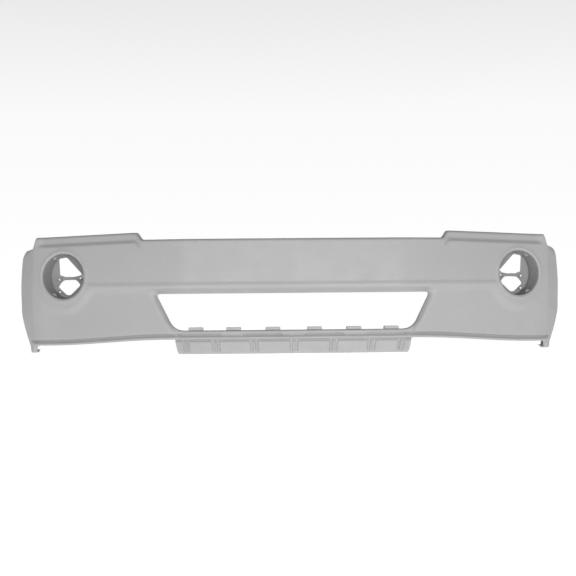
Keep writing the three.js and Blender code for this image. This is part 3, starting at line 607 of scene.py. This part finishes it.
# ---------- finishes ----------
def finish(name, colour, roughness, metal=0.0, mottle=0.05, grain=0.0004, grain_scale=320, wear=None):
    """Colour that drifts, a fine relief, a roughness that varies and, where asked, edges worn lighter."""
    material = bpy.data.materials.new(name)
    material.use_nodes = True
    tree = material.node_tree
    shader = tree.nodes["Principled BSDF"]
    shader.inputs["Metallic"].default_value = metal
    where = tree.nodes.new("ShaderNodeTexCoord")

    def noise(scale, detail):
        node = tree.nodes.new("ShaderNodeTexNoise")
        node.inputs["Scale"].default_value = scale
        node.inputs["Detail"].default_value = detail
        tree.links.new(where.outputs["Object"], node.inputs["Vector"])
        return node.outputs[0]

    def spread(value, low, high):
        node = tree.nodes.new("ShaderNodeMapRange")
        node.inputs["From Min"].default_value = 0.3
        node.inputs["From Max"].default_value = 0.7
        node.inputs["To Min"].default_value = low
        node.inputs["To Max"].default_value = high
        tree.links.new(value, node.inputs["Value"])
        return node.outputs[0]

    def blend(factor, first, second):
        node = tree.nodes.new("ShaderNodeMix")
        node.data_type = "RGBA"
        tree.links.new(factor, node.inputs["Factor"])
        for value, socket in ((first, node.inputs["A"]), (second, node.inputs["B"])):
            if isinstance(value, tuple):
                socket.default_value = (*value, 1)
            else:
                tree.links.new(value, socket)
        return node.outputs["Result"]

    def shade(amount):
        return tuple(min(c * amount, 1) for c in colour)

    drift = blend(spread(noise(4.5, 3), 0, 1), shade(1 - mottle), shade(1 + mottle))
    speck = spread(noise(grain_scale * 0.4, 4), 0, 0.35)
    tone = blend(speck, drift, shade(1 - 2 * mottle))
    if wear:
        curved = tree.nodes.new("ShaderNodeNewGeometry")
        rim = tree.nodes.new("ShaderNodeMapRange")
        rim.inputs["From Min"].default_value = 0.53
        rim.inputs["From Max"].default_value = 0.62
        rim.inputs["To Max"].default_value = 0.6
        tree.links.new(curved.outputs["Pointiness"], rim.inputs["Value"])
        tone = blend(rim.outputs[0], tone, wear)
    tree.links.new(tone, shader.inputs["Base Color"])
    tree.links.new(spread(noise(28, 5), roughness - 0.07, roughness + 0.07), shader.inputs["Roughness"])
    relief = tree.nodes.new("ShaderNodeBump")
    relief.inputs["Strength"].default_value = 0.5
    relief.inputs["Distance"].default_value = grain
    tree.links.new(noise(grain_scale, 4), relief.inputs["Height"])
    tree.links.new(relief.outputs["Normal"], shader.inputs["Normal"])
    return material


primer = finish("primer", (0.345, 0.345, 0.345), 0.55, mottle=0.035, wear=(0.43, 0.43, 0.43))
# A darker grey than the primer: painted shade for the inside of the fog-lamp pockets, used on the tubs, their
# ears and the carriers.
pocket_primer_painted_shade = finish("pocket_primer_painted_shade", (0.27, 0.27, 0.27), 0.6, mottle=0.06, grain=0.0006,
                       wear=(0.36, 0.36, 0.36))
nylon = finish("nylon", (0.028, 0.028, 0.03), 0.55, mottle=0.12, grain=0.0008, grain_scale=500,
               wear=(0.07, 0.07, 0.07))
zinc = finish("zinc", (0.55, 0.56, 0.57), 0.32, metal=1.0, mottle=0.06, grain=0.0003, grain_scale=600,
              wear=(0.75, 0.75, 0.74))

# ---------- fascia skin ----------
skin = fascia_skin()
skin.data.materials.append(primer)
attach(skin, "root")
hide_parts("fascia_skin")


def skin_y(x, z):
    s = station_of(np.array([float(abs(x))]), np.array([float(z)]))
    return float(on_plan(s, skin_offset(s, np.array([float(z)])))[1][0])


def tube(x, z, near, far, radius, bore, segments=24):
    profile = np.array([(bore, near), (radius, near), (radius, far), (bore, far), (bore, near)])
    points, faces = revolved(profile, segments)
    return points + (x, 0, z), faces


def plan_point(s, offset):
    x, y = on_plan(np.array([float(s)]), offset)
    return float(x[0]), float(y[0])


EAR_ANGLES, EAR_REACH, EAR_RADIUS, EAR_STANDOFF = (60, 180, 300), 15, 8, 18
SCREW_HOLE, BOSS_RADIUS, GAP = 2.4, 6, 0.3
LUG_HALF, LUG_LOW, LUG_HIGH, LUG_HOLE = 22, 51, 76, 4.3


def ear_points(side):
    points = []
    for degrees in EAR_ANGLES:
        angle, reach = math.radians(degrees), POCKET_RADIUS + EAR_REACH
        x, z = side * (POCKET_X + reach * math.cos(angle)), POCKET_Z + reach * POCKET_TALL * math.sin(angle)
        points.append((angle, x, z, skin_y(x, z)))
    return points


for name, side in SIDES:
    bosses = [tube(x, z, y + WALL + 0.4, y + EAR_STANDOFF - GAP, BOSS_RADIUS, SCREW_HOLE)
              for _, x, z, y in ear_points(side)]
    piece(f"skin_bosses_{name}", bosses, primer, edge=0.4)

lugs = []
for s in RIVET_X:
    x, y = plan_point(s, -RAIL_BACK)
    outline = rounded([(x - LUG_HALF, LUG_LOW), (x + LUG_HALF, LUG_LOW), (x + LUG_HALF, LUG_HIGH),
                       (x - LUG_HALF, LUG_HIGH)], 3, closed=True)
    lugs.append(slice_of([outline, circle(x, RIVET_Z, LUG_HOLE)], y - WALL, y))
piece("rivet_lugs", lugs, primer, edge=0.4)

# ---------- lower valance ----------
VALANCE_FRONT = RAIL_BACK + 0.6
VALANCE_TOP_HALF, VALANCE_LOW_HALF, VALANCE_TOP = 408, 390, 74
RIBS = (-369, -263, -134, 0, 134, 263, 369)
HOOKS = (-319, -196, -68, 68, 196, 319)
BAR_RELIEF, PANEL_RELIEF = 4, 3.5
HOOK_HALF, HOOK_REACH, HOOK_LOW, HOOK_TOP, HOOK_ROUNDING, NOSE_LOW = 25, 24, 70, 87.9, 3.5, 78.8


def valance_sheet():
    steps = np.array([0, 1.5, 2.6, 3.4, 4.2, 5, 6.2, 8.5, 11, 11.8, 12.6, 13.5, 14.3, 15.2, 17])
    near_ribs = [centre + sign * steps for centre in RIBS for sign in (-1, 1)]
    stations = np.concatenate([np.arange(-VALANCE_TOP_HALF, VALANCE_TOP_HALF + 1, 12), *near_ribs])
    stations = np.unique(stations.round(3))
    stations = stations[np.concatenate([[True], np.diff(stations) > 0.5])]
    columns = []
    for s in stations:
        nearest = min(abs(s - centre) for centre in RIBS)
        bar = BAR_RELIEF * (1 - smooth(nearest, 2.4, 5))
        relief = bar + PANEL_RELIEF * smooth(nearest, 10.6, 15.4)
        front = -VALANCE_FRONT
        profile = rounded([(front - 21.8, 0), (front - 4, 0), (front, 4), (front + relief, 8),
                           (front + relief, 40), (front, 45), (front, VALANCE_TOP - 0.5)], 3.2, 5)
        fine = []
        for a, b in zip(profile, profile[1:]):
            count = max(1, int(np.linalg.norm(b - a) // 6))
            fine += [mix(a, b, k / count) for k in range(count)]
        columns.append(fine + [profile[-1]])
    rows = min(len(column) for column in columns)
    points = []
    for s, column in zip(stations, columns):
        column = np.array(column)
        pick = np.linspace(0, len(column) - 1, rows)
        offset, z = (np.interp(pick, range(len(column)), column[:, k]) for k in (0, 1))
        width = mix(VALANCE_LOW_HALF, VALANCE_TOP_HALF, ramp(z, 0, VALANCE_TOP))
        at = np.full(rows, s) * width / VALANCE_TOP_HALF
        x, y = on_plan(at, offset)
        points.append(np.stack([x, y, z], -1))
    return np.concatenate(points), grid_faces(len(stations), rows)


def tab_outline(x, low, half):
    """A tab's face, half wide at its top and HOOK_HALF at its foot."""
    corners = [(x - HOOK_HALF, low), (x + HOOK_HALF, low), (x + half, HOOK_TOP), (x - half, HOOK_TOP)]
    return rounded(corners, HOOK_ROUNDING, closed=True)


def hook_parts(x):
    y = plan_point(x, -VALANCE_FRONT)[1]
    shift = abs(plan_point(abs(x) + HOOK_HALF, -VALANCE_FRONT)[1] - y)
    front, back = y - HOOK_REACH, y + shift + WALL
    wall = slice_of([tab_outline(x, HOOK_LOW, HOOK_HALF - 1)], y + shift, back)
    nose = slice_of([tab_outline(x, NOSE_LOW, HOOK_HALF - 2.5)], front, front + WALL)
    cap = [(x - 23, front + 0.6), (x + 23, front + 0.6), (x + 23.5, back - 0.4), (x - 23.5, back - 0.4)]
    return [wall, nose, slice_of([cap], 84.9, 87.7, "xyz")]


sheet_points, sheet_faces = valance_sheet()
piece("valance_sheet", [shell_parts(sheet_points, sheet_faces, WALL)], primer, "lower_valance", edge=0)
piece("valance_hooks", [part for x in HOOKS for part in hook_parts(x)], primer, edge=0.7)

# ---------- fog-lamp pockets, carriers and their fixings ----------
BUCKET_SHIFT, BUCKET_BACK, BUCKET_TALL, BUCKET_LEDGE, BUCKET_RIM, RIM_DEPTH = 8, 60, 73, 7, 3.5, 9
UPPER_WINDOW = ((-23, 4), (-26, 60), (0, 65), (49, 10), (47, 4), (24, -1), (-8, -1), (-14, 3))
LOWER_WINDOW = ((31, -11), (-9, -12), (-17, -19), (-27, -32), (-27, -37), (0, -63), (12, -63), (44, -31),
                (44, -26))
BOSSES = ((-24, -10), (46, -6), (-22.5, -52))
INSERT_HOLE, CARRIER_BOSS, CARRIER_BOSS_LENGTH = 3.4, 6.5, 8
POCKET_SEGMENTS = 96


def ellipse(side, shift, wide, tall):
    angles = 2 * math.pi * np.arange(POCKET_SEGMENTS) / POCKET_SEGMENTS
    x = side * (POCKET_X - shift + wide * np.cos(angles))
    return x, POCKET_Z + tall * np.sin(angles)


def bucket_parts(side):
    """The tub as one closed ring of surface: out over the outside, back along the inside."""
    ledge, rear = POCKET_BACK - BUCKET_LEDGE, POCKET_BACK + RIM_DEPTH

    def mouth(grow, extra):
        x, z = ellipse(side, 0, POCKET_RADIUS + grow, (POCKET_RADIUS + grow) * POCKET_TALL)
        edge_x, edge_z = ellipse(side, 0, POCKET_RADIUS, POCKET_RADIUS * POCKET_TALL)
        s = station_of(np.abs(edge_x), edge_z)
        return np.stack([x, on_plan(s, skin_offset(s, edge_z))[1] + extra, z], -1)

    def seat(grow, y):
        x, z = ellipse(side, BUCKET_SHIFT, BUCKET_BACK + grow, BUCKET_TALL + grow)
        return np.stack([x, np.full(POCKET_SEGMENTS, float(y)), z], -1)

    rim = BUCKET_RIM + WALL
    outer, low = mouth(WALL - 0.4, 9.6), seat(WALL - 0.4, ledge - 8)
    inner, deep = mouth(0, 9.6), seat(0, ledge)
    rings = [mouth(0.8, 8.7), mouth(WALL - 1.2, 8.7), outer]
    rings += [mix(outer, low, t) for t in (0.25, 0.5, 0.75)] + [low]
    rings += [seat(rim - 1, ledge - 1), seat(rim - 0.2, ledge)]
    rings += [seat(rim - 0.2, rear - 0.8), seat(rim - 1, rear)]
    rings += [seat(BUCKET_RIM + 0.6, rear), seat(BUCKET_RIM, rear - 0.8), seat(BUCKET_RIM, POCKET_BACK)]
    rings += [seat(0.6, POCKET_BACK), seat(0, POCKET_BACK - 0.8), deep]
    rings += [mix(deep, inner, t) for t in (0.2, 0.4, 0.6, 0.8)] + [inner]
    columns = np.stack(rings + [rings[0]], 1).reshape(-1, 3)
    return columns, grid_faces(POCKET_SEGMENTS, len(rings) + 1, wrap=True)


def ear_parts(side):
    parts = []
    for angle, x, z, y in ear_points(side):
        root_x = side * (POCKET_X + (POCKET_RADIUS - 1) * math.cos(angle))
        root_z = POCKET_Z + (POCKET_RADIUS - 1) * POCKET_TALL * math.sin(angle)
        near = y + EAR_STANDOFF
        outline = capsule((root_x, root_z), (x, z), EAR_RADIUS)
        parts.append(slice_of([outline, circle(x, z, SCREW_HOLE)], near, near + WALL))
    return parts


def carrier_parts(side):
    centre, front = np.array([side * POCKET_X, POCKET_Z]), POCKET_BACK + GAP
    x, z = ellipse(side, BUCKET_SHIFT, BUCKET_BACK + BUCKET_RIM - 0.5, BUCKET_TALL + BUCKET_RIM - 0.5)
    outlines = [np.stack([x, z], -1)]
    for window, radius in ((UPPER_WINDOW, 4), (LOWER_WINDOW, 7)):
        corners = np.array([(-side * u, v) for u, v in window]) + centre
        outlines.append(rounded(corners, radius, closed=True))
    holes = [circle(-side * u + centre[0], v + centre[1], INSERT_HOLE) for u, v in BOSSES]
    parts = [slice_of(outlines + holes, front, front + WALL)]
    for u, v in BOSSES:
        parts.append(tube(-side * u + centre[0], v + centre[1], front - CARRIER_BOSS_LENGTH, front + 0.2,
                          CARRIER_BOSS, INSERT_HOLE, 32))
    return parts


def insert_parts(x, y, z):
    """A knurled sleeve."""
    corners = [(1.9, 0.1), (3.05, 0.1), (3.05, 2.4), (2.8, 2.8), (2.8, 4.2), (3.05, 4.6), (3.05, 6.9),
               (1.9, 6.9)]
    profile = rounded(corners, 0.25, 2, closed=True)
    profile = np.concatenate([profile, profile[:1]])

    def knurl(angle, radius, along):
        return np.where(radius > 2.9, radius - 0.12 * (np.cos(20 * angle) > 0), radius), along

    points, faces = revolved(profile, 80, knurl)
    return [(points + (x, y, z), faces)]


def screw_parts(length=15.0):
    """A pan-head screw along -y with a cross recess and a turned thread; its head sits at y = 0."""
    thread = np.linspace(-length + 2.2, -0.4, max(8, int(length * 8)))
    head = [(6, 0.0), (6, 1.1), (5.7, 1.9), (5.0, 2.6), (4.0, 3.0), (3.2, 3.15), (2.7, 3.19), (2.2, 3.2),
            (1.7, 3.2), (1.2, 3.2), (0.7, 3.2), (0.0, 3.2)]
    tip = [(0, -length), (0.9, -length + 0.3)]
    profile = np.array(tip + [(1.72, y) for y in thread] + [(1.9, 0.0)] + head)

    def shape(angle, radius, y):
        turn = (y / 1.4 - angle / (2 * math.pi)) % 1.0
        ridge = 0.17 * np.maximum(0, 1 - np.abs(turn - 0.5) * 4)
        radius = np.where((y < -0.3) & (radius > 1.5), radius + ridge, radius)
        across = np.minimum(np.abs(radius * np.sin(angle)), np.abs(radius * np.cos(angle)))
        sunk = (y > 3) & (across < 0.62) & (radius < 2.9)
        return radius, np.where(sunk, y - 1.7 * (1 - radius / 4.2), y)

    return revolved(profile, 64, shape)


def stood(part, at, upright=False):
    points, faces = part
    if upright:
        points = np.stack([points[:, 0], -points[:, 2], points[:, 1]], -1)
    return points + at, faces


for name, side in SIDES:
    # The tubs, their ears and the carriers take the darker primer, which is painted shade inside the pocket.
    piece(f"tub_{name}", [bucket_parts(side)], pocket_primer_painted_shade, f"fog_lamp_pocket_{name}", edge=0)
    piece(f"tub_ears_{name}", ear_parts(side), pocket_primer_painted_shade, edge=0.5)
    piece(f"carrier_{name}", carrier_parts(side), pocket_primer_painted_shade, f"fog_lamp_carrier_{name}", edge=0.6)
    for k, (u, v) in enumerate(BOSSES, 1):
        at = (side * (POCKET_X - u), POCKET_BACK + 0.5 - CARRIER_BOSS_LENGTH, POCKET_Z + v)
        piece(f"insert_{name}_{k}", insert_parts(*at), zinc, f"lamp_insert_{name}_{k}", edge=0)
    for k, (_, x, z, y) in enumerate(ear_points(side), 1):
        screw = stood(screw_parts(), (x, y + EAR_STANDOFF + WALL + GAP, z))
        piece(f"screw_{name}_{k}", [screw], zinc, f"pocket_screw_{name}_{k}", edge=0)

# ---------- side retainers and corner feet ----------
RETAINER_ARCS, SCREW_ARCS, RETAINER_THICK, RETAINER_STEP = (990, 1147), (1012, 1117), 2.2, 8.0
RETAINER_DROP, RETAINER_LEG_GAP, RETAINER_HEIGHT, RETAINER_REACH = 1.4, 3.2, 26, 19
FOOT_ARC, FOOT_INSET, FOOT_HALF_WIDE, FOOT_HALF_LONG, FOOT_ROUNDING = 1074, 15, 11, 24, 5


def side_screw_point(side, arc):
    high = top_edge(np.array([float(arc)]))
    s = side * arch_station(np.array([float(arc)]), high)
    x, y = on_plan(s, skin_offset(np.array([float(arc)]), high - 9) - 12)
    return float(x[0]), float(y[0]), float(high[0])


def retainer_parts(side):
    arcs, columns = np.arange(RETAINER_ARCS[0], RETAINER_ARCS[1] + 1, RETAINER_STEP), []
    for arc in arcs if side > 0 else arcs[::-1]:
        one = np.array([arc])
        edge = float(top_edge(one)[0])
        high, leg = edge - WALL - RETAINER_DROP, WALL + RETAINER_LEG_GAP
        low, bend, face = high - RETAINER_HEIGHT, high - 6, edge - 9

        def offset(z):
            return float(skin_offset(one, np.array([z]))[0])

        corners = [(offset(low) - leg, low), (offset(bend) - leg, bend), (offset(face) - leg - 3, high),
                   (offset(face) - RETAINER_REACH, high)]
        profile = rounded(corners, 2.5, 4)
        at = side * arch_station(np.full(len(profile), arc), profile[:, 1])
        x, y = on_plan(at, profile[:, 0])
        columns.append(np.stack([x, y, profile[:, 1]], -1))
    rows = len(columns[0])
    return [shell_parts(np.concatenate(columns), grid_faces(len(columns), rows), RETAINER_THICK)]


def foot_point(side):
    one = np.array([float(FOOT_ARC)])
    s = side * arch_station(one, SIDE_LOW)
    x, y = on_plan(s, skin_offset(s, np.array([SIDE_LOW + 3])) - FOOT_INSET)
    return float(x[0]), float(y[0])


for name, side in SIDES:
    piece(f"retainer_{name}", retainer_parts(side), nylon, f"side_retainer_{name}", edge=0.3)
    for k, arc in enumerate(SCREW_ARCS, 1):
        x, y, z = side_screw_point(side, arc)
        screw = stood(screw_parts(), (x, y, z + 0.9), upright=True)
        piece(f"edge_screw_{name}_{k}", [screw], zinc, f"side_screw_{name}_{k}", edge=0)
    x, y = foot_point(side)
    wide, long = FOOT_HALF_WIDE, FOOT_HALF_LONG
    corners = [(x - wide, y - long), (x + wide, y - long), (x + wide, y + long), (x - wide, y + long)]
    pad = rounded(corners, FOOT_ROUNDING, closed=True)
    foot = slice_of([pad, circle(x, y, SCREW_HOLE)], 0, SIDE_LOW - GAP, "xyz")
    piece(f"foot_{name}", [foot], primer, f"corner_foot_{name}", edge=0.6)
    seat = SIDE_LOW + WALL + 0.9
    screw = stood(screw_parts(seat - 0.5), (x, y, seat), upright=True)
    piece(f"foot_screw_{name}", [screw], zinc, f"corner_screw_{name}", edge=0)

# ---------- push rivets ----------
RIVET_LENGTH, RIVET_BORE, RIVET_SHANK, RIVET_FLANGE, RIVET_SEGMENTS = 12.5, 2.35, 3.95, 8.95, 48
LEG_COLUMNS, LEG_MARGIN = 9, 0.16  # points along each leg's arc, and half the slot between legs in radians


def rivet_body_parts():
    """A dished flange with a collar, and a shank split into four legs."""
    corners = [(RIVET_BORE, -3), (RIVET_SHANK, -3), (RIVET_SHANK, 0), (RIVET_FLANGE, 0), (RIVET_FLANGE, 1.3),
               (7, 2.2), (RIVET_BORE, 2.2)]
    flange = rounded(corners, 0.4, 2, closed=True)
    parts = [revolved(np.concatenate([flange, flange[:1]]), RIVET_SEGMENTS)]
    tip = -RIVET_LENGTH + 0.1
    leg = np.array([(RIVET_BORE, -2.9), (RIVET_SHANK, -2.9), (3.9, -8.5), (3.2, tip), (RIVET_BORE, tip)])
    count, last = len(leg), (LEG_COLUMNS - 1) * len(leg)
    for quarter in range(4):
        angles = math.pi / 2 * quarter + np.linspace(LEG_MARGIN, math.pi / 2 - LEG_MARGIN, LEG_COLUMNS)
        points = [(r * math.cos(a), y, -r * math.sin(a)) for a in angles for r, y in leg]
        faces = [[i + j, i + count + j, i + count + (j + 1) % count, i + (j + 1) % count]
                 for i in range(0, last, count) for j in range(count)]
        faces += [list(range(count)), [last + k for k in reversed(range(count))]]
        parts.append((np.array(points), faces))
    return parts


def rivet_pin_parts():
    """A pointed pin with a broad head that is dished at its centre."""
    end = -RIVET_LENGTH
    corners = [(0, end - 1), (1.2, end - 1), (1.95, end + 1), (1.95, 2.5), (4.95, 2.5), (4.95, 3.6), (4, 4.5),
               (1.5, 4.5), (1.1, 3.9), (0, 3.9)]
    return [revolved(rounded(corners, 0.35, 3), RIVET_SEGMENTS)]


for k, s in enumerate(RIVET_X, 1):
    x, y = plan_point(s, -VALANCE_FRONT - WALL - 0.6)
    at = (x, y, RIVET_Z)
    body = [stood(part, at) for part in rivet_body_parts()]
    pin = [stood(part, at) for part in rivet_pin_parts()]
    piece(f"rivet_body_{k}", body, nylon, f"push_rivet_body_{k}", edge=0)
    piece(f"rivet_pin_{k}", pin, nylon, f"push_rivet_pin_{k}", edge=0, body=f"rivet_pin_{k}")

# ---------- camera, floor and light ----------
scene = bpy.context.scene
PHOTO_WIDTH = 576
FOCAL_PIXELS = 1270
SENSOR_WIDTH, FLOOR_HALF = 36, 30
camera_data = bpy.data.cameras.new("camera")
camera_data.sensor_width = SENSOR_WIDTH
camera_data.lens = FOCAL_PIXELS / PHOTO_WIDTH * SENSOR_WIDTH
camera = bpy.data.objects.new("camera", camera_data)
scene.collection.objects.link(camera)
scene.camera = camera
YAW, ROLL = math.radians(1.7), math.radians(0.5)
DISTANCE, EYE_HEIGHT = 4.1, 0.214
aim = Vector((-0.019, FRONT_Y * MM, EYE_HEIGHT))
camera.location = aim + DISTANCE * Vector((-math.sin(YAW), -math.cos(YAW), 0))
camera.rotation_euler = (Matrix.Rotation(-YAW, 4, "Z") @ Matrix.Rotation(math.pi / 2, 4, "X")
                         @ Matrix.Rotation(-ROLL, 4, "Z")).to_euler()

floor_mesh = bpy.data.meshes.new("floor")
floor_mesh.from_pydata([(x * FLOOR_HALF, y * FLOOR_HALF, 0) for x, y in ((-1, -1), (1, -1), (1, 1), (-1, 1))],
                       [], [(0, 1, 2, 3)])
floor = bpy.data.objects.new("floor", floor_mesh)
scene.collection.objects.link(floor)
paper = finish("floor", (0.93, 0.93, 0.93), 0.9, mottle=0.01, grain=0.0002, grain_scale=90)
glow = paper.node_tree.nodes["Principled BSDF"].inputs
glow["Emission Color"].default_value = (1, 1, 1, 1)
glow["Emission Strength"].default_value = 0.78
floor.data.materials.append(paper)

world = bpy.data.worlds.new("world")
scene.world = world
world.use_nodes = True
sky = world.node_tree
position = sky.nodes.new("ShaderNodeTexCoord")
split = sky.nodes.new("ShaderNodeSeparateXYZ")
fade = sky.nodes.new("ShaderNodeValToRGB")
fade.color_ramp.elements[0].position = 0.02
fade.color_ramp.elements[0].color = (1, 1, 1, 1)
fade.color_ramp.elements[1].position = 0.7
fade.color_ramp.elements[1].color = (0.08, 0.08, 0.08, 1)
middle = fade.color_ramp.elements.new(0.14)
middle.color = (0.95, 0.95, 0.95, 1)
sky.links.new(position.outputs["Generated"], split.inputs[0])
sky.links.new(split.outputs["Z"], fade.inputs["Fac"])
sky.links.new(fade.outputs["Color"], sky.nodes["Background"].inputs["Color"])
sky.nodes["Background"].inputs["Strength"].default_value = 1.0


def area_light(name, place, target, size, power):
    data = bpy.data.lights.new(name, "AREA")
    data.shape = "RECTANGLE"
    data.size, data.size_y = size
    data.energy = power
    light = bpy.data.objects.new(name, data)
    scene.collection.objects.link(light)
    light.location = place
    light.rotation_euler = (Vector(target) - Vector(place)).to_track_quat("-Z", "Y").to_euler()


area_light("key", (0.3, -4.6, 0.4), (0, 0, 0.2), (2.4, 0.6), 105)
scene.view_settings.view_transform = "Standard"
